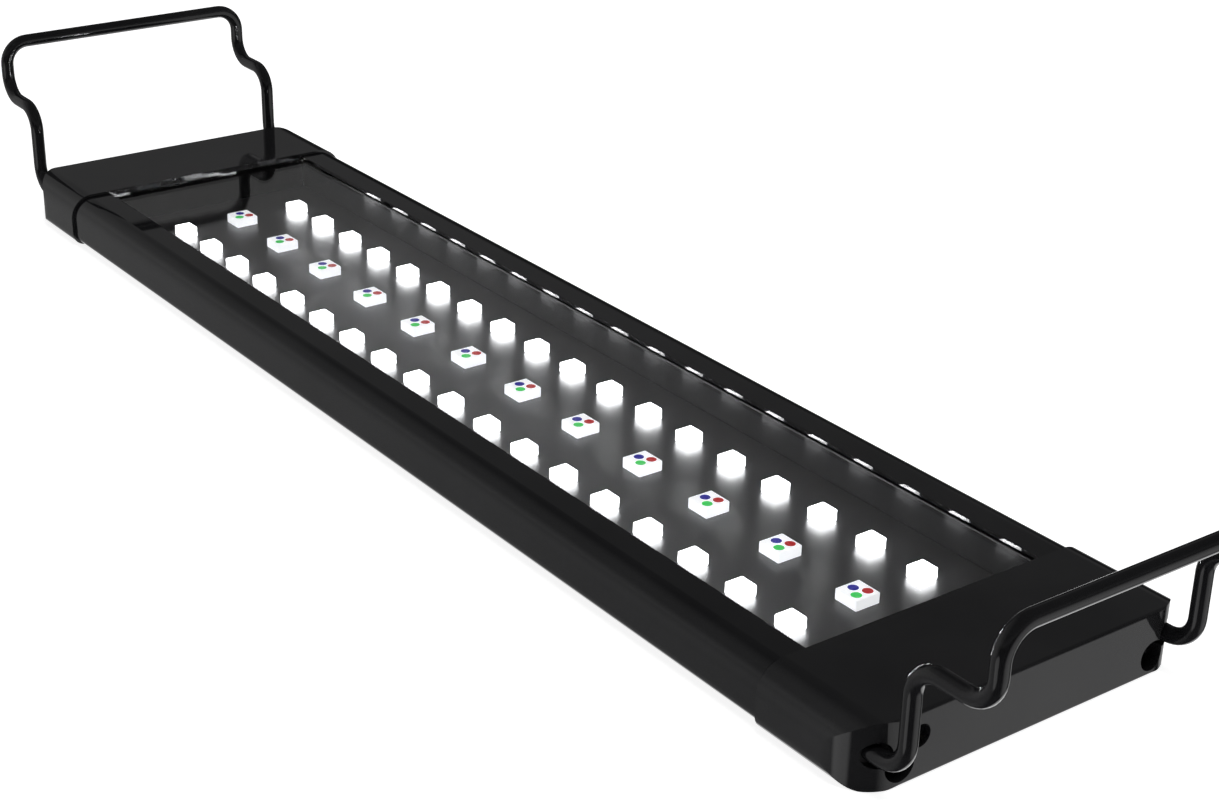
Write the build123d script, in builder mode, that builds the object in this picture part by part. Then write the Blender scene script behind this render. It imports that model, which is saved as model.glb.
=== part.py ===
"""Aquarium light bar with a sliding wire bracket at each end.

The bar lies on its back, so +Z points out of its LED side. X runs along the bar. The origin is the
middle of the underside. The right end is at +X and the front rail is at -Y. Millimetres throughout.
"""

import os
from math import radians, tan

from build123d import *

os.makedirs("parts", exist_ok=True)

# ---------------------------------------------------------------- driving dimensions

# Outer form
overall_length = 448.0  # over both end caps
overall_width = 108.0  # over the end caps
cap_height = 17.8
cap_length = 35.2  # from the gasket to the end face
cap_step = 0.9  # how far the caps stand proud of the extrusion all round
cap_corner_radius = 13.0  # seen from above
top_edge_radius = 8.0  # along the sides, at the LED side
bottom_edge_radius = 4.5
cap_wall = 2.4
cap_floor = 2.2
pocket_wall = 1.2  # between the pocket inside a cap and its screw tunnels
cap_end_edge_radius = 0.8
gasket_thickness = 0.8
gasket_inset = 0.4  # behind the outside of the extrusion

# Extrusion
rail_width = 14.6
floor_thickness = 1.6
lip_radius = 0.2  # rounding of the edges around the window
lip_draft = 5.5  # degrees that the walls around the window lean outwards, above the lens
groove_depth = 1.7  # for the long edges of the lens
back_rib_pitch = 6.0
back_rib_gap = 2.0
back_rib_depth = 0.4

# Lens and seal
lens_thickness = 2.0
lens_drop = 1.1  # from the top of the rails down to the lens
lens_reach = 3.0  # into each end cap
lens_side_clearance = 0.2
lens_face_clearance = 0.1
seal_thickness = 0.5

# LED board
pad_thickness = 0.2
board_thickness = 1.6
board_side_clearance = 0.4
board_end_clearance = 1.0
led_end_margin = 17.0  # least distance from the end of the board to the middle of an LED
white_pitch = 19.3
white_row_spacing = 44.2
white_led_size = 5.7
white_led_height = 3.0
white_led_edge = 0.35
white_led_chamfer = 0.2
rgb_pitch = 29.8
rgb_led_size = 8.0
rgb_led_height = 3.0
rgb_led_edge = 0.3
rgb_led_chamfer = 0.15
emitter_radius = 1.5
emitter_circle_radius = 2.2
emitter_offset = 0.5  # of the middle of the three dies from that of the package, along X
emitter_depth = 0.6
connector_size = (6.0, 8.0, 3.0)
connector_chamfer = 0.3
connector_side_offset = 6.0
connector_end_gap = 2.5

# Wire brackets
wire_diameter = 4.5
leg_inset = 6.9  # from the side of the cap to the middle of the leg
leg_height = 9.4
leg_reach = 114.0  # from the end face to the tip of the leg
leg_head_length = 3.0
leg_head_growth = 0.45  # radius of the upset tip beyond that of the wire
riser_gap = 7.1  # from the end face to the middle of the first riser
step_height = 37.9
step_length = 23.3
crossbar_height = 57.3
bend_radius = 8.0
bush_length = 10.0
bush_wall = 0.8
wire_clearance = 0.05  # between the wire and its bush
channel_clearance = 0.6  # between the upset tip and the channel of the extrusion
wire_mouth_growth = 0.3  # radius of the open mouth beyond that of the bush
mouth_depth = 4.5

# Cap screws
screw_radius = 1.5
screw_length = 14.0
screw_head_radius = 2.75
screw_head_height = 2.0
screw_slot_width = 0.7
screw_slot_length = 3.4
screw_slot_depth = 1.0
screw_setback = 2.9  # from the window to the middle of the screw
screw_height = 5.4
screw_seat_thickness = 4.2
screw_hole_clearance = 0.1
screw_tunnel_clearance = 0.65  # round the screw head
screw_mouth_radius = 4.1

# Power inlet, in the right cap
inlet_inset = 18.0  # from the front side of the cap to the middle of the inlet
inlet_drop = 6.4  # from the top of the cap to the middle of the inlet
socket_bore_radius = 2.85
socket_wall = 0.75
socket_length = 14.0
socket_bore_depth = 10.0
socket_pin_radius = 1.0
socket_pin_recess = 1.0
socket_pin_chamfer = 0.3
inlet_hole_clearance = 0.15
terminal_size = (4.0, 2.0, 0.5)
terminal_spacing = 2.6
terminal_side_offset = 0.8

# Driver, in the right cap
driver_length = 20.0
driver_width = 48.0
driver_thickness = 1.2
driver_lift = 0.8
driver_start = 5.2  # from the inner face of the cap
driver_rib_width = 3.0
driver_rib_spacing = 32.0
chip_size = (5.0, 6.0, 1.6)
inductor_radius = 3.5
inductor_bore_radius = 1.3
inductor_height = 4.0
inductor_edge_radius = 0.65
capacitor_radius = 3.15
capacitor_height = 7.0
capacitor_edge_radius = 0.4
capacitor_offset = 1.3  # from the middle of the driver towards the end face
component_spacing = 12.0
lead_diameter = 1.3
lead_bend_radius = 1.5
input_lead_setback = 5.0  # from the terminals to the run across the driver
input_lead_landings = (15.0, 19.0)  # red and black, from the middle of the driver
output_lead_spacing = 3.6
output_lead_inset = 3.0

# ---------------------------------------------------------------- derived places

end_face_x = overall_length / 2
cap_inner_x = end_face_x - cap_length
housing_end_x = cap_inner_x - gasket_thickness
housing_length = 2 * housing_end_x
housing_top = cap_height - cap_step
window_width = overall_width - 2 * cap_step - 2 * rail_width

floor_top = cap_step + floor_thickness
pad_top = floor_top + pad_thickness
board_top = pad_top + board_thickness
board_length = housing_length - 2 * board_end_clearance
board_width = window_width - 2 * board_side_clearance
rgb_top = board_top + rgb_led_height

lens_top = housing_top - lens_drop
lens_bottom = lens_top - lens_thickness
groove_bottom = lens_bottom - seal_thickness
groove_top = lens_top + lens_face_clearance
groove_height = groove_top - groove_bottom
groove_width = window_width + 2 * groove_depth
lens_width = groove_width - 2 * lens_side_clearance
lens_length = 2 * (cap_inner_x + lens_reach)
lip_lean = (cap_height - groove_top) * tan(radians(lip_draft))

wire_radius = wire_diameter / 2
leg_y = overall_width / 2 - leg_inset
leg_centres = ((-leg_y, leg_height), (leg_y, leg_height))
leg_tip_x = end_face_x - leg_reach
bush_inner_radius = wire_radius + wire_clearance
bush_outer_radius = bush_inner_radius + bush_wall
wire_mouth_radius = bush_outer_radius + wire_mouth_growth
leg_head_radius = wire_radius + leg_head_growth
channel_radius = leg_head_radius + channel_clearance
riser_x = end_face_x + riser_gap
crossbar_x = riser_x + step_length
mouth_x = end_face_x - mouth_depth

screw_y = window_width / 2 + screw_setback
screw_centres = ((-screw_y, screw_height), (screw_y, screw_height))
screw_seat_x = cap_inner_x + screw_seat_thickness
screw_tunnel_radius = screw_head_radius + screw_tunnel_clearance

pocket_half_width = screw_y - screw_tunnel_radius - pocket_wall
pocket_top = cap_height - cap_floor
pocket_end_x = end_face_x - cap_wall

inlet_y = inlet_inset - overall_width / 2
inlet_height = cap_height - inlet_drop
socket_radius = socket_bore_radius + socket_wall
socket_rear_x = pocket_end_x - socket_length
terminal_end_x = socket_rear_x - terminal_size[0]
terminal_y = inlet_y + terminal_side_offset

driver_x = cap_inner_x + driver_start + driver_length / 2
driver_bottom = cap_floor + driver_lift
driver_top = driver_bottom + driver_thickness
lead_radius = lead_diameter / 2
connector_x = board_length / 2 - connector_end_gap - connector_size[0] / 2

SIDES = ("right", "left")


def spread(length, pitch):
    """Evenly spaced places along X, as many as fit on the length, centred on the origin."""
    gaps = int(length / pitch)
    return [(i - gaps / 2) * pitch for i in range(gaps + 1)]


def draw_outline(section, inset):
    """Draws the rounded cross-section of the bar, inside the outline of the caps by the inset."""
    with Locations((0, inset)):
        Rectangle(overall_width - 2 * inset, cap_height - 2 * inset, align=(Align.CENTER, Align.MIN))
    fillet(section.vertices().group_by(Axis.Y)[-1], top_edge_radius - inset)
    fillet(section.vertices().group_by(Axis.Y)[0], bottom_edge_radius - inset)


def cut_channel(inset, wire_hole_radius, screw_hole_radius):
    """Opens the window, the lens grooves and the bores in the cross-section being drawn."""
    with Locations((0, floor_top)):
        Rectangle(window_width, cap_height - floor_top, align=(Align.CENTER, Align.MIN), mode=Mode.SUBTRACT)
    lip_y = window_width / 2
    Polygon(
        (-lip_y, groove_top),
        (lip_y, groove_top),
        (lip_y + lip_lean, cap_height),
        (-lip_y - lip_lean, cap_height),
        align=None,
        mode=Mode.SUBTRACT,
    )
    with Locations((0, groove_bottom)):
        Rectangle(groove_width, groove_height, align=(Align.CENTER, Align.MIN), mode=Mode.SUBTRACT)
    with Locations(*leg_centres):
        Circle(wire_hole_radius, mode=Mode.SUBTRACT)
    with Locations(*screw_centres):
        Circle(screw_hole_radius, mode=Mode.SUBTRACT)


def cut_bores(start_x, end_x, centres, radius):
    """Cuts round holes along X in the part being made, from one place to the other."""
    with BuildSketch(Plane.YZ.offset(start_x)) as holes:
        with Locations(*centres):
            Circle(radius)
    extrude(holes.sketch, amount=end_x - start_x, mode=Mode.SUBTRACT)


def add_rods(start_x, end_x, centres, radius):
    """Adds round bars along X to the part being made, from one place to the other."""
    with BuildSketch(Plane.YZ.offset(start_x)) as bars:
        with Locations(*centres):
            Circle(radius)
    extrude(bars.sketch, amount=end_x - start_x)


def add_tube(points, turn_radius, radius):
    """Adds a round wire or lead to the part being made, along straight runs and arcs."""
    with BuildLine() as path:
        FilletPolyline(*points, radius=turn_radius)
    with BuildSketch(Plane(origin=path.line @ 0, z_dir=path.line % 0)) as end:
        Circle(radius)
    sweep(end.sketch, path=path.line)


def to_side(side):
    """Turns a part made for the right end into the one for the left end where that is asked for."""
    if side == "left":
        mirror(about=Plane.YZ, mode=Mode.REPLACE)


# ---------------------------------------------------------------- extrusion

with BuildPart() as housing_extrusion:
    with BuildSketch(Plane.YZ.offset(-housing_end_x)) as profile:
        draw_outline(profile, cap_step)
        cut_channel(cap_step, channel_radius, screw_radius)
        lip_reach = window_width / 2 + lip_lean
        lips = profile.vertices().group_by(Axis.Y)[-1].filter_by_position(Axis.X, -lip_reach, lip_reach)
        fillet(lips, lip_radius)
        ribs = int((window_width / 2) / back_rib_pitch)
        with Locations(*[(i * back_rib_pitch, cap_step) for i in range(-ribs, ribs + 1)]):
            Rectangle(back_rib_gap, 2 * back_rib_depth, mode=Mode.SUBTRACT)
    extrude(amount=housing_length)
housing_extrusion.part.label = "housing_extrusion"
export_step(housing_extrusion.part, "parts/housing_extrusion.step")

# ---------------------------------------------------------------- end caps, gaskets and screws

for side in SIDES:
    with BuildPart() as end_cap:
        with BuildSketch(Plane.YZ.offset(cap_inner_x)) as profile:
            draw_outline(profile, 0)
        extrude(amount=cap_length)
        with BuildSketch(Plane.XY) as plan:
            with Locations((cap_inner_x, 0)):
                Rectangle(cap_length, overall_width, align=(Align.MIN, Align.CENTER))
            fillet(plan.vertices().group_by(Axis.X)[-1], cap_corner_radius)
        extrude(amount=cap_height, mode=Mode.INTERSECT)
        with BuildSketch(Plane.XZ) as side_view:
            Polygon(
                (cap_inner_x, 0),
                (end_face_x, 0),
                (end_face_x, cap_height),
                (cap_inner_x + lip_lean, cap_height),
                (cap_inner_x, groove_top),
                align=None,
            )
            fillet(side_view.vertices().group_by(Axis.X)[-1], cap_end_edge_radius)
            lip = side_view.vertices().sort_by_distance((cap_inner_x + lip_lean, 0, cap_height))[0]
            fillet(lip, lip_radius)
        extrude(amount=overall_width, both=True, mode=Mode.INTERSECT)
        with BuildSketch(Plane.YZ.offset(cap_inner_x)):
            with Locations((0, cap_floor)):
                Rectangle(2 * pocket_half_width, pocket_top - cap_floor, align=(Align.CENTER, Align.MIN))
        extrude(amount=pocket_end_x - cap_inner_x, mode=Mode.SUBTRACT)
        with BuildSketch(Plane.YZ.offset(cap_inner_x)):
            with Locations((0, groove_bottom)):
                Rectangle(groove_width, groove_height, align=(Align.CENTER, Align.MIN))
        extrude(amount=lens_reach + lens_side_clearance, mode=Mode.SUBTRACT)
        cut_bores(cap_inner_x, end_face_x, leg_centres, bush_outer_radius)
        cut_bores(mouth_x, end_face_x, leg_centres, wire_mouth_radius)
        cut_bores(cap_inner_x, screw_seat_x, screw_centres, screw_radius + screw_hole_clearance)
        cut_bores(screw_seat_x, end_face_x, screw_centres, screw_tunnel_radius)
        cut_bores(mouth_x, end_face_x, screw_centres, screw_mouth_radius)
        if side == "right":
            cut_bores(terminal_end_x, pocket_end_x, ((inlet_y, inlet_height),), socket_radius)
            cut_bores(pocket_end_x, end_face_x, ((inlet_y, inlet_height),),
                      socket_bore_radius + inlet_hole_clearance)
            with BuildSketch(Plane.XY.offset(cap_floor)):
                with Locations(*[(driver_x, y) for y in (-driver_rib_spacing / 2, driver_rib_spacing / 2)]):
                    Rectangle(driver_length, driver_rib_width)
            extrude(amount=driver_lift)
        to_side(side)
    end_cap.part.label = f"{side}_end_cap"
    export_step(end_cap.part, f"parts/{side}_end_cap.step")

    with BuildPart() as cap_gasket:
        with BuildSketch(Plane.YZ.offset(housing_end_x)) as profile:
            draw_outline(profile, cap_step + gasket_inset)
            cut_channel(cap_step + gasket_inset, channel_radius, screw_radius + screw_hole_clearance)
        extrude(amount=gasket_thickness)
        to_side(side)
    cap_gasket.part.label = f"{side}_cap_gasket"
    export_step(cap_gasket.part, f"parts/{side}_cap_gasket.step")

    with BuildPart() as cap_screws:
        screw_head_x = screw_seat_x + screw_head_height
        add_rods(screw_head_x - screw_head_height - screw_length, screw_head_x, screw_centres, screw_radius)
        add_rods(screw_seat_x, screw_head_x, screw_centres, screw_head_radius)
        with BuildSketch(Plane.YZ.offset(screw_head_x)):
            with Locations(*screw_centres):
                Rectangle(screw_slot_length, screw_slot_width)
                Rectangle(screw_slot_width, screw_slot_length)
        extrude(amount=-screw_slot_depth, mode=Mode.SUBTRACT)
        to_side(side)
    cap_screws.part.label = f"{side}_cap_screws"
    export_step(cap_screws.part, f"parts/{side}_cap_screws.step")

# ---------------------------------------------------------------- lens and seal

with BuildPart() as lens_cover:
    with BuildSketch(Plane.XY.offset(lens_bottom)):
        Rectangle(lens_length, lens_width)
    extrude(amount=lens_thickness)
lens_cover.part.label = "lens_cover"
export_step(lens_cover.part, "parts/lens_cover.step")

with BuildPart() as lens_seal_strips:
    seal_width = groove_depth - lens_side_clearance
    with BuildSketch(Plane.XY.offset(groove_bottom)):
        with Locations(*[(0, side * (window_width + seal_width) / 2) for side in (-1, 1)]):
            Rectangle(housing_length, seal_width)
    extrude(amount=seal_thickness)
lens_seal_strips.part.label = "lens_seal_strips"
export_step(lens_seal_strips.part, "parts/lens_seal_strips.step")

# ---------------------------------------------------------------- LED board

with BuildPart() as thermal_pad:
    with BuildSketch(Plane.XY.offset(floor_top)):
        Rectangle(board_length, board_width)
    extrude(amount=pad_thickness)
thermal_pad.part.label = "thermal_pad"
export_step(thermal_pad.part, "parts/thermal_pad.step")

with BuildPart() as led_board:
    with BuildSketch(Plane.XY.offset(pad_top)):
        Rectangle(board_length, board_width)
    extrude(amount=board_thickness)
led_board.part.label = "led_board"
export_step(led_board.part, "parts/led_board.step")

led_run = board_length - 2 * led_end_margin

for row_name, row_y in (("front", -white_row_spacing / 2), ("rear", white_row_spacing / 2)):
    with BuildPart() as white_leds:
        with BuildSketch(Plane.XY.offset(board_top)):
            with Locations(*[(x, row_y) for x in spread(led_run, white_pitch)]):
                RectangleRounded(white_led_size, white_led_size, white_led_edge)
        extrude(amount=white_led_height)
        chamfer(white_leds.faces().group_by(Axis.Z)[-1].edges(), white_led_chamfer)
    white_leds.part.label = f"{row_name}_white_leds"
    export_step(white_leds.part, f"parts/{row_name}_white_leds.step")

EMITTERS = {"red": 60, "green": 300, "blue": 180}  # direction of each die from the middle of the three
emitter_places = {
    colour: [
        Vector(x + emitter_offset, 0) + Vector(emitter_circle_radius, 0).rotate(Axis.Z, angle)
        for x in spread(led_run, rgb_pitch)
    ]
    for colour, angle in EMITTERS.items()
}

with BuildPart() as rgb_led_packages:
    with BuildSketch(Plane.XY.offset(board_top)):
        with Locations(*[(x, 0) for x in spread(led_run, rgb_pitch)]):
            RectangleRounded(rgb_led_size, rgb_led_size, rgb_led_edge)
    extrude(amount=rgb_led_height)
    chamfer(rgb_led_packages.faces().group_by(Axis.Z)[-1].edges(), rgb_led_chamfer)
    with BuildSketch(Plane.XY.offset(rgb_top)):
        for places in emitter_places.values():
            with Locations(*places):
                Circle(emitter_radius)
    extrude(amount=-emitter_depth, mode=Mode.SUBTRACT)
rgb_led_packages.part.label = "rgb_led_packages"
export_step(rgb_led_packages.part, "parts/rgb_led_packages.step")

for colour, places in emitter_places.items():
    with BuildPart() as emitters:
        with BuildSketch(Plane.XY.offset(rgb_top)):
            with Locations(*places):
                Circle(emitter_radius)
        extrude(amount=-emitter_depth)
    emitters.part.label = f"{colour}_emitters"
    export_step(emitters.part, f"parts/{colour}_emitters.step")

with BuildPart() as board_connector:
    with Locations((connector_x, connector_side_offset, board_top)):
        Box(*connector_size, align=(Align.CENTER, Align.CENTER, Align.MIN))
    chamfer(board_connector.faces().sort_by(Axis.Z)[-1].edges(), connector_chamfer)
board_connector.part.label = "board_connector"
export_step(board_connector.part, "parts/board_connector.step")

# ---------------------------------------------------------------- power inlet

inlet_centre = ((inlet_y, inlet_height),)
socket_floor_x = pocket_end_x - socket_bore_depth

with BuildPart() as dc_socket_body:
    add_rods(socket_rear_x, pocket_end_x, inlet_centre, socket_radius)
    cut_bores(socket_floor_x, pocket_end_x, inlet_centre, socket_bore_radius)
    cut_bores(socket_rear_x, socket_floor_x, inlet_centre, socket_pin_radius)
dc_socket_body.part.label = "dc_socket_body"
export_step(dc_socket_body.part, "parts/dc_socket_body.step")

with BuildPart() as dc_socket_pin:
    add_rods(socket_rear_x, pocket_end_x - socket_pin_recess, inlet_centre, socket_pin_radius)
    chamfer(dc_socket_pin.faces().sort_by(Axis.X)[-1].edges(), socket_pin_chamfer)
dc_socket_pin.part.label = "dc_socket_pin"
export_step(dc_socket_pin.part, "parts/dc_socket_pin.step")

terminal_heights = (inlet_height + terminal_spacing / 2, inlet_height - terminal_spacing / 2)

with BuildPart() as dc_socket_terminals:
    with Locations(*[(terminal_end_x, terminal_y, z) for z in terminal_heights]):
        Box(*terminal_size, align=(Align.MIN, Align.CENTER, Align.CENTER))
dc_socket_terminals.part.label = "dc_socket_terminals"
export_step(dc_socket_terminals.part, "parts/dc_socket_terminals.step")

# ---------------------------------------------------------------- driver

with BuildPart() as driver_board:
    with BuildSketch(Plane.XY.offset(driver_bottom)):
        with Locations((driver_x, 0)):
            Rectangle(driver_length, driver_width)
    extrude(amount=driver_thickness)
driver_board.part.label = "driver_board"
export_step(driver_board.part, "parts/driver_board.step")

with BuildPart() as driver_chip:
    with Locations((driver_x, 0, driver_top)):
        Box(*chip_size, align=(Align.CENTER, Align.CENTER, Align.MIN))
driver_chip.part.label = "driver_chip"
export_step(driver_chip.part, "parts/driver_chip.step")

with BuildPart() as driver_inductor:
    with BuildSketch(Plane.XY.offset(driver_top)):
        with Locations((driver_x, component_spacing)):
            Circle(inductor_radius)
            Circle(inductor_bore_radius, mode=Mode.SUBTRACT)
    extrude(amount=inductor_height)
    fillet(driver_inductor.faces().sort_by(Axis.Z)[-1].edges(), inductor_edge_radius)
driver_inductor.part.label = "driver_inductor"
export_step(driver_inductor.part, "parts/driver_inductor.step")

with BuildPart() as driver_capacitor:
    with BuildSketch(Plane.XY.offset(driver_top)):
        with Locations((driver_x + capacitor_offset, -component_spacing)):
            Circle(capacitor_radius)
    extrude(amount=capacitor_height)
    fillet(driver_capacitor.faces().sort_by(Axis.Z)[-1].edges(), capacitor_edge_radius)
driver_capacitor.part.label = "driver_capacitor"
export_step(driver_capacitor.part, "parts/driver_capacitor.step")

# ---------------------------------------------------------------- internal leads

input_run_x = terminal_end_x - input_lead_setback

for colour, start_height, landing in zip(("red", "black"), terminal_heights, input_lead_landings):
    with BuildPart() as input_lead:
        add_tube(
            (
                (terminal_end_x, terminal_y, start_height),
                (input_run_x, terminal_y, start_height),
                (input_run_x, -landing, start_height),
                (input_run_x, -landing, driver_top),
            ),
            lead_bend_radius,
            lead_radius,
        )
    input_lead.part.label = f"input_lead_{colour}"
    export_step(input_lead.part, f"parts/input_lead_{colour}.step")

output_start_x = driver_x - driver_length / 2 + output_lead_inset
output_height = board_top + connector_size[2] / 2

for colour, offset in (("red", -output_lead_spacing / 2), ("black", output_lead_spacing / 2)):
    lead_y = connector_side_offset + offset
    with BuildPart() as output_lead:
        add_tube(
            (
                (connector_x + connector_size[0] / 2, lead_y, output_height),
                (output_start_x, lead_y, output_height),
                (output_start_x, lead_y, driver_top),
            ),
            lead_bend_radius,
            lead_radius,
        )
    output_lead.part.label = f"output_lead_{colour}"
    export_step(output_lead.part, f"parts/output_lead_{colour}.step")

# ---------------------------------------------------------------- wire brackets and their bushes

BRACKET_PATH = (
    (leg_tip_x, -leg_y, leg_height),
    (riser_x, -leg_y, leg_height),
    (riser_x, -leg_y, step_height),
    (crossbar_x, -leg_y, step_height),
    (crossbar_x, -leg_y, crossbar_height),
    (crossbar_x, leg_y, crossbar_height),
    (crossbar_x, leg_y, step_height),
    (riser_x, leg_y, step_height),
    (riser_x, leg_y, leg_height),
    (leg_tip_x, leg_y, leg_height),
)

for side in SIDES:
    with BuildPart() as bracket_wire:
        add_tube(BRACKET_PATH, bend_radius, wire_radius)
        add_rods(leg_tip_x - leg_head_length, leg_tip_x, leg_centres, leg_head_radius)
        chamfer(bracket_wire.faces().group_by(Axis.X)[0].edges(), leg_head_growth)
        to_side(side)
    bracket_wire.part.label = f"{side}_bracket_wire"
    export_step(bracket_wire.part, f"parts/{side}_bracket_wire.step")

    with BuildPart() as bracket_bushes:
        add_rods(mouth_x - bush_length, mouth_x, leg_centres, bush_outer_radius)
        cut_bores(mouth_x - bush_length, mouth_x, leg_centres, bush_inner_radius)
        to_side(side)
    bracket_bushes.part.label = f"{side}_bracket_bushes"
    export_step(bracket_bushes.part, f"parts/{side}_bracket_bushes.step")
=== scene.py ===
"""Looks of the aquarium light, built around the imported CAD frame."""

from math import radians

import bpy
from mathutils import Matrix, Vector

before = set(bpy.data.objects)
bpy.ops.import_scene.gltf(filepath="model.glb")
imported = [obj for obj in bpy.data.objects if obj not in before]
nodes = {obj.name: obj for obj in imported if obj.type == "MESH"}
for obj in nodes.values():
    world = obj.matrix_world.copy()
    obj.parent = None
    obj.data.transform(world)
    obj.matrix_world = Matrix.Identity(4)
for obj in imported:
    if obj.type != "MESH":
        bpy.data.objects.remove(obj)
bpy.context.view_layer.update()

# ------------------------------------------------------------------ driving values

# Noise scales are cells in a metre. Heights and places are in metres.
CLOUD_SCALE = 38.0
GRAIN_STRENGTH = 0.35
LIT_CLOUD_SCALE = 900.0
LIT_GRAIN_STRENGTH = 0.1
LIT_GRAIN_HEIGHT = 0.00002
LIT_SHADE = 0.92  # darkest part of a glowing piece's own colour
UPWARD = (0.6, 0.95)  # upward part of the normal where a face starts and ends turning to its top glow
LENS_CLOUD_SCALE = 30.0

FLOOR_WIDTH = 16.0
FLOOR_GLOW = 0.86
FLOOR_SHADE = 0.8
BACKDROP_RADIUS = 7.9
SKY_LEVEL = 0.01  # of the surroundings between the lobes

KEY_PLACE = (0.3, 0.2, 1.9)
KEY_SIZE = (1.4, 1.0)
KEY_POWER = 16

EYE_PLACE = (0.5102, -0.3384, 0.2797)
EYE_TURN = radians(53.163)  # about Z, from looking along +Y
EYE_TILT = radians(65.341)  # up from looking straight down
EYE_ROLL = radians(1.305)
EYE_LENS = 64.81  # focal length and sensor width in millimetres
EYE_SENSOR = 36.0
EYE_NEAR = 0.01

# ------------------------------------------------------------------ materials


class Maker:
    """A node material with one Principled shader, built by short calls."""

    def __init__(self, name):
        self.material = bpy.data.materials.new(name)
        self.material.use_nodes = True
        self.tree = self.material.node_tree
        self.shader = self.tree.nodes["Principled BSDF"]
        self.place = None

    def add(self, kind):
        return self.tree.nodes.new(kind)

    def link(self, a, b):
        self.tree.links.new(a, b)

    def coordinates(self):
        """Places on the object, in metres, shared by all of the material's noises."""
        if self.place is None:
            self.place = self.add("ShaderNodeTexCoord").outputs["Object"]
        return self.place

    def noise(self, scale, detail=3.0):
        node = self.add("ShaderNodeTexNoise")
        node.inputs["Scale"].default_value = scale
        node.inputs["Detail"].default_value = detail
        self.link(self.coordinates(), node.inputs["Vector"])
        return node.outputs["Fac"]

    def spread(self, value, low, high, start=0.3, end=0.7):
        """Turns a value that runs from start to end into one that runs from low to high."""
        node = self.add("ShaderNodeMapRange")
        node.inputs["From Min"].default_value = start
        node.inputs["From Max"].default_value = end
        node.inputs["To Min"].default_value = low
        node.inputs["To Max"].default_value = high
        self.link(value, node.inputs["Value"])
        return node.outputs["Result"]

    def shades(self, value, dark, light, start=0.3, end=0.7):
        """Turns a value that runs from start to end into a colour between dark and light."""
        node = self.add("ShaderNodeValToRGB")
        node.color_ramp.elements[0].position = start
        node.color_ramp.elements[0].color = (*dark, 1)
        node.color_ramp.elements[1].position = end
        node.color_ramp.elements[1].color = (*light, 1)
        self.link(value, node.inputs["Fac"])
        return node.outputs["Color"]

    def bump(self, value, strength, distance):
        node = self.add("ShaderNodeBump")
        node.inputs["Strength"].default_value = strength
        node.inputs["Distance"].default_value = distance
        self.link(value, node.inputs["Height"])
        self.link(node.outputs["Normal"], self.shader.inputs["Normal"])

    def set(self, **values):
        """Sets the shader's inputs, each to a constant or to another node's output."""
        for key, value in values.items():
            socket = self.shader.inputs[key.replace("_", " ")]
            if hasattr(value, "is_linked"):
                self.link(value, socket)
            else:
                socket.default_value = value


def paint(node, material):
    """Gives a CAD node's object this material."""
    mesh = nodes[node].data
    mesh.materials.clear()
    mesh.materials.append(material)


def coated(name, dark, light, rough, grain, grain_height, **extra):
    """A finish with fine grain, and colour and gloss that vary a little from place to place."""
    m = Maker(name)
    cloud = m.noise(CLOUD_SCALE, 4.0)
    m.set(Base_Color=m.shades(cloud, dark, light), Roughness=m.spread(cloud, *rough))
    m.bump(m.noise(grain, 2.0), GRAIN_STRENGTH, grain_height)
    m.set(**extra)
    return m.material


def lit(name, colour, power, base, top_power=None):
    """A glowing piece, which can be brighter on the faces that point up."""
    m = Maker(name)
    cloud = m.noise(LIT_CLOUD_SCALE, 2.0)
    dark = tuple(c * LIT_SHADE for c in base)
    m.set(Base_Color=m.shades(cloud, dark, base), Roughness=0.35, Specular_IOR_Level=0.2)
    m.set(Emission_Color=(*colour, 1), Emission_Strength=power)
    if top_power is not None:
        split = m.add("ShaderNodeSeparateXYZ")
        m.link(m.add("ShaderNodeNewGeometry").outputs["Normal"], split.inputs["Vector"])
        m.set(Emission_Strength=m.spread(split.outputs["Z"], power, top_power, *UPWARD))
    m.bump(cloud, LIT_GRAIN_STRENGTH, LIT_GRAIN_HEIGHT)
    return m.material


rail_black = coated("anodised_black", (0.006, 0.006, 0.007), (0.011, 0.011, 0.012), (0.02, 0.04),
                    2600.0, 0.0000006)
cap_black = coated("cap_black", (0.010, 0.010, 0.011), (0.016, 0.016, 0.017), (0.03, 0.06),
                   1900.0, 0.0000005)
wire_black = coated("wire_black", (0.006, 0.006, 0.007), (0.012, 0.012, 0.013), (0.04, 0.08),
                    700.0, 0.000001)
rubber_black = coated("rubber_black", (0.008, 0.008, 0.008), (0.014, 0.014, 0.014), (0.6, 0.8),
                      1500.0, 0.00002)
bush_black = coated("bush_black", (0.006, 0.006, 0.006), (0.01, 0.01, 0.01), (0.45, 0.6),
                    1500.0, 0.00002)
screw_dark = coated("screw_dark", (0.05, 0.05, 0.052), (0.10, 0.10, 0.104), (0.28, 0.42),
                    900.0, 0.00002, Metallic=1.0)
board_black = coated("board_black", (0.016, 0.016, 0.017), (0.020, 0.020, 0.021), (0.30, 0.33),
                     1400.0, 0.000004, Specular_IOR_Level=0.6)
pad_grey = coated("pad_grey", (0.08, 0.08, 0.085), (0.11, 0.11, 0.115), (0.7, 0.85), 1200.0, 0.00003)
# Painted glow: the RGB packages' white plastic body is given an even emission, though it is no lamp,
# so it shows bright beside the emitters.
white_body_painted_glow = coated("package_white_painted_glow", (0.62, 0.64, 0.68), (0.72, 0.74, 0.78), (0.3, 0.42),
                    1500.0, 0.00001, Emission_Color=(0.97, 0.98, 1.0, 1), Emission_Strength=0.9)
connector_white = coated("connector_white", (0.5, 0.49, 0.46), (0.6, 0.59, 0.55), (0.35, 0.5),
                         1500.0, 0.00002)
socket_black = coated("socket_black", (0.008, 0.008, 0.008), (0.014, 0.014, 0.014), (0.3, 0.45),
                      1500.0, 0.00002)
contact_plated = coated("contact_plated", (0.5, 0.46, 0.36), (0.62, 0.58, 0.46), (0.2, 0.35),
                        1200.0, 0.00001, Metallic=1.0)
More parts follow.
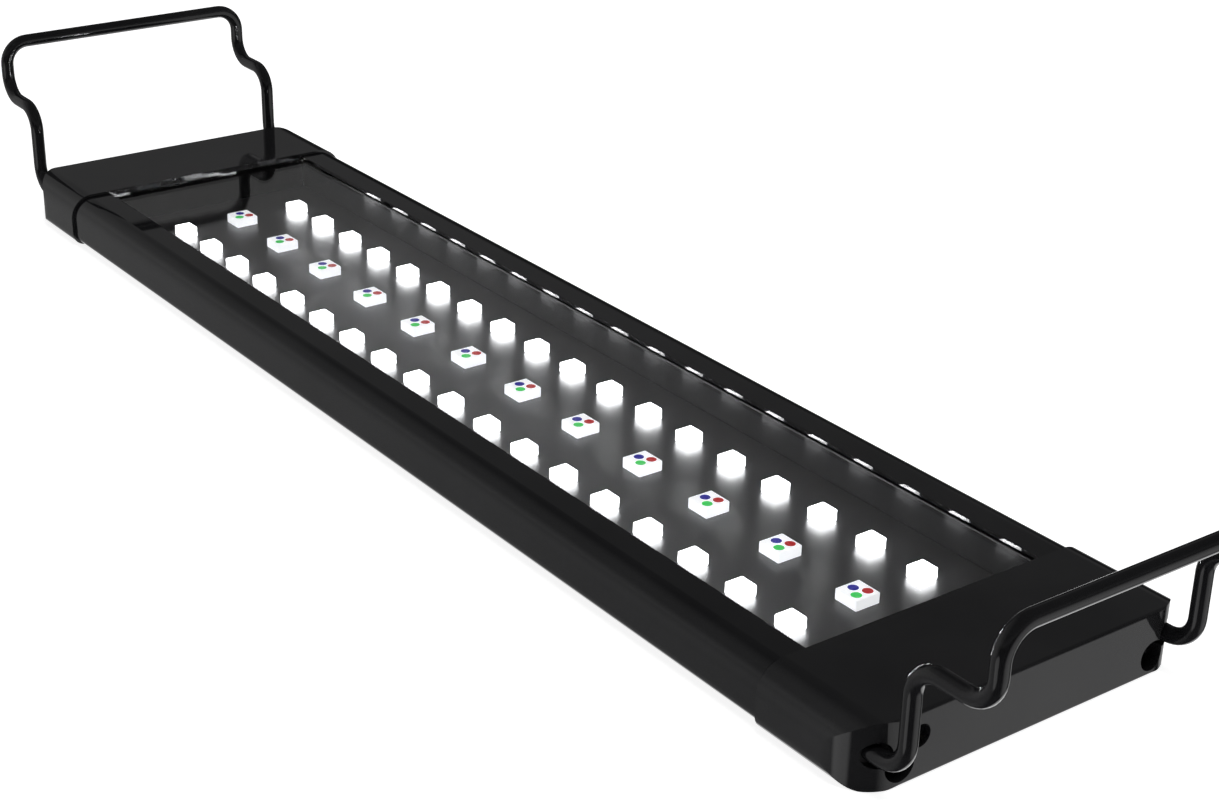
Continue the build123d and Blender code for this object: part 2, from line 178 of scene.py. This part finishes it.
driver_green = coated("driver_green", (0.01, 0.06, 0.02), (0.02, 0.09, 0.035), (0.25, 0.4),
                      1500.0, 0.00001)
chip_black = coated("chip_black", (0.01, 0.01, 0.01), (0.02, 0.02, 0.02), (0.5, 0.7), 2500.0, 0.00002)
ferrite_dark = coated("ferrite_dark", (0.03, 0.03, 0.032), (0.06, 0.06, 0.062), (0.6, 0.8),
                      1500.0, 0.00003)
can_bright = coated("can_bright", (0.5, 0.5, 0.52), (0.66, 0.66, 0.68), (0.25, 0.4), 1200.0, 0.00001,
                    Metallic=1.0)
lead_red = coated("lead_red", (0.32, 0.012, 0.012), (0.42, 0.02, 0.02), (0.3, 0.45), 1500.0, 0.00001)
lead_black = coated("lead_black", (0.008, 0.008, 0.008), (0.014, 0.014, 0.014), (0.3, 0.45),
                    1500.0, 0.00001)
# Painted shade: the lens seal strips are coloured near black so they show as the dark shaded line
# beneath the lip.
silicone_painted_shade = coated("silicone_painted_shade", (0.006, 0.006, 0.006), (0.01, 0.01, 0.01), (0.5, 0.6),
                        1200.0, 0.00003)

white_light = lit("white_light", (0.97, 0.98, 1.0), 14.0, (0.9, 0.92, 0.95), 30.0)
red_light = lit("red_light", (0.50, 0.002, 0.004), 0.8, (0.10, 0.002, 0.002))
green_light = lit("green_light", (0.03, 0.66, 0.10), 0.9, (0.01, 0.12, 0.02))
blue_light = lit("blue_light", (0.0, 0.0, 0.34), 0.8, (0.001, 0.002, 0.03))

lens = Maker("lens_clear")
lens_tint = lens.shades(lens.noise(LENS_CLOUD_SCALE), (0.985, 0.985, 0.985), (1, 1, 1))
lens.set(Base_Color=lens_tint, Roughness=0.0, IOR=1.49, Transmission_Weight=1.0)

looks = {
    "housing_extrusion": rail_black,
    "right_end_cap": cap_black,
    "left_end_cap": cap_black,
    "right_cap_gasket": rubber_black,
    "left_cap_gasket": rubber_black,
    "right_cap_screws": screw_dark,
    "left_cap_screws": screw_dark,
    "lens_cover": lens.material,
    "lens_seal_strips": silicone_painted_shade,
    "thermal_pad": pad_grey,
    "led_board": board_black,
    "front_white_leds": white_light,
    "rear_white_leds": white_light,
    "rgb_led_packages": white_body_painted_glow,
    "red_emitters": red_light,
    "green_emitters": green_light,
    "blue_emitters": blue_light,
    "board_connector": connector_white,
    "dc_socket_body": socket_black,
    "dc_socket_pin": contact_plated,
    "dc_socket_terminals": contact_plated,
    "driver_board": driver_green,
    "driver_chip": chip_black,
    "driver_inductor": ferrite_dark,
    "driver_capacitor": can_bright,
    "input_lead_red": lead_red,
    "input_lead_black": lead_black,
    "output_lead_red": lead_red,
    "output_lead_black": lead_black,
    "right_bracket_wire": wire_black,
    "left_bracket_wire": wire_black,
    "right_bracket_bushes": bush_black,
    "left_bracket_bushes": bush_black,
}
for node, material in looks.items():
    paint(node, material)

# ------------------------------------------------------------------ stage, light and camera


def glow_only(name, strength, base):
    """A matt surface of the stage that glows evenly, besides the light that falls on it."""
    m = Maker(name)
    m.set(Base_Color=(base, base, base, 1), Roughness=0.9, Specular_IOR_Level=0.0)
    m.set(Emission_Color=(1, 1, 1, 1), Emission_Strength=strength)
    return m.material


bpy.ops.mesh.primitive_plane_add(size=FLOOR_WIDTH, location=(0, 0, 0))
floor = bpy.context.object
floor.name = "floor"
floor.data.materials.append(glow_only("studio_floor", FLOOR_GLOW, FLOOR_SHADE))
floor.visible_glossy = False
floor.visible_transmission = False

bpy.ops.mesh.primitive_uv_sphere_add(segments=64, ring_count=32, radius=BACKDROP_RADIUS)
backdrop = bpy.context.object
backdrop.name = "backdrop"
backdrop.data.materials.append(glow_only("studio_backdrop", 1.0, 0.0))
backdrop.visible_glossy = False
backdrop.visible_transmission = False
backdrop.visible_diffuse = False
backdrop.visible_shadow = False

world = bpy.data.worlds.new("studio")
bpy.context.scene.world = world
world.use_nodes = True
sky = world.node_tree
background = sky.nodes["Background"]
background.inputs["Strength"].default_value = 1.0
direction = sky.nodes.new("ShaderNodeTexCoord").outputs["Generated"]


def sky_lobe(toward, start, end, level):
    """Light from round one direction, fading evenly to nothing at the start cosine."""
    dot = sky.nodes.new("ShaderNodeVectorMath")
    dot.operation = "DOT_PRODUCT"
    sky.links.new(direction, dot.inputs[0])
    dot.inputs[1].default_value = Vector(toward).normalized()
    fade = sky.nodes.new("ShaderNodeMapRange")
    fade.interpolation_type = "SMOOTHSTEP"
    fade.inputs["From Min"].default_value = start
    fade.inputs["From Max"].default_value = end
    fade.inputs["To Min"].default_value = 0.0
    fade.inputs["To Max"].default_value = level
    sky.links.new(dot.outputs["Value"], fade.inputs["Value"])
    return fade.outputs["Result"]


def add_levels(first, second):
    """The sum of two levels, each a node's output or a number."""
    both = sky.nodes.new("ShaderNodeMath")
    both.operation = "ADD"
    for level, socket in zip((first, second), both.inputs):
        if hasattr(level, "is_linked"):
            sky.links.new(level, socket)
        else:
            socket.default_value = level
    return both.outputs["Value"]


# Each lobe is the bright surroundings that one part of the black gloss mirrors.
lobes = [
    sky_lobe((0, 0, 1), 0.18, 0.34, 0.12),  # top faces
    sky_lobe((0, 0, 1), 0.34, 0.60, -0.07),  # darker overhead, so that the near end is darker
    sky_lobe((-0.655, 0.454, -0.604), 0.85, 0.95, 1.0),  # rims that turn away from the eye
    sky_lobe((-0.05, 0.55, -0.83), 0.93, 0.98, 1.2),  # lower side of the crossbar
    sky_lobe((-0.35, 0.84, -0.42), 0.90, 0.97, 0.5),  # right side of the upright wires
    sky_lobe((0.80, 0.50, -0.42), 0.75, 0.97, 0.69),  # end face
    sky_lobe((0.1, -1.0, -0.42), 0.93, 0.97, 0.8),  # front corner of the end cap
    sky_lobe((-0.73, -0.55, -0.42), 0.5, 0.92, 0.24),  # front side
    sky_lobe((-0.70, -0.55, 0.35), 0.6, 0.95, 0.16),  # rounded edge above the front side
]
level = lobes[0]
for lobe in lobes[1:]:
    level = add_levels(level, lobe)
sky.links.new(add_levels(level, SKY_LEVEL), background.inputs["Color"])


def softbox(name, place, aim, size, power):
    """A rectangular lamp that lights matt surfaces and isn't seen in glossy ones."""
    data = bpy.data.lights.new(name, "AREA")
    data.shape = "RECTANGLE"
    data.size, data.size_y = size
    data.energy = power
    lamp = bpy.data.objects.new(name, data)
    bpy.context.scene.collection.objects.link(lamp)
    lamp.location = place
    lamp.rotation_mode = "QUATERNION"
    lamp.rotation_quaternion = (Vector(aim) - Vector(place)).to_track_quat("-Z", "Y")
    lamp.visible_glossy = False


softbox("key", KEY_PLACE, (0, 0, 0), KEY_SIZE, KEY_POWER)

eye = bpy.data.cameras.new("eye")
eye.sensor_fit = "HORIZONTAL"
eye.sensor_width = EYE_SENSOR
eye.lens = EYE_LENS
eye.clip_start = EYE_NEAR
camera = bpy.data.objects.new("camera", eye)
bpy.context.scene.collection.objects.link(camera)
aim = Matrix.Rotation(EYE_TURN, 4, "Z") @ Matrix.Rotation(EYE_TILT, 4, "X")
camera.matrix_world = Matrix.Translation(EYE_PLACE) @ aim @ Matrix.Rotation(EYE_ROLL, 4, "Z")
bpy.context.scene.camera = camera

bpy.context.scene.view_settings.view_transform = "Standard"
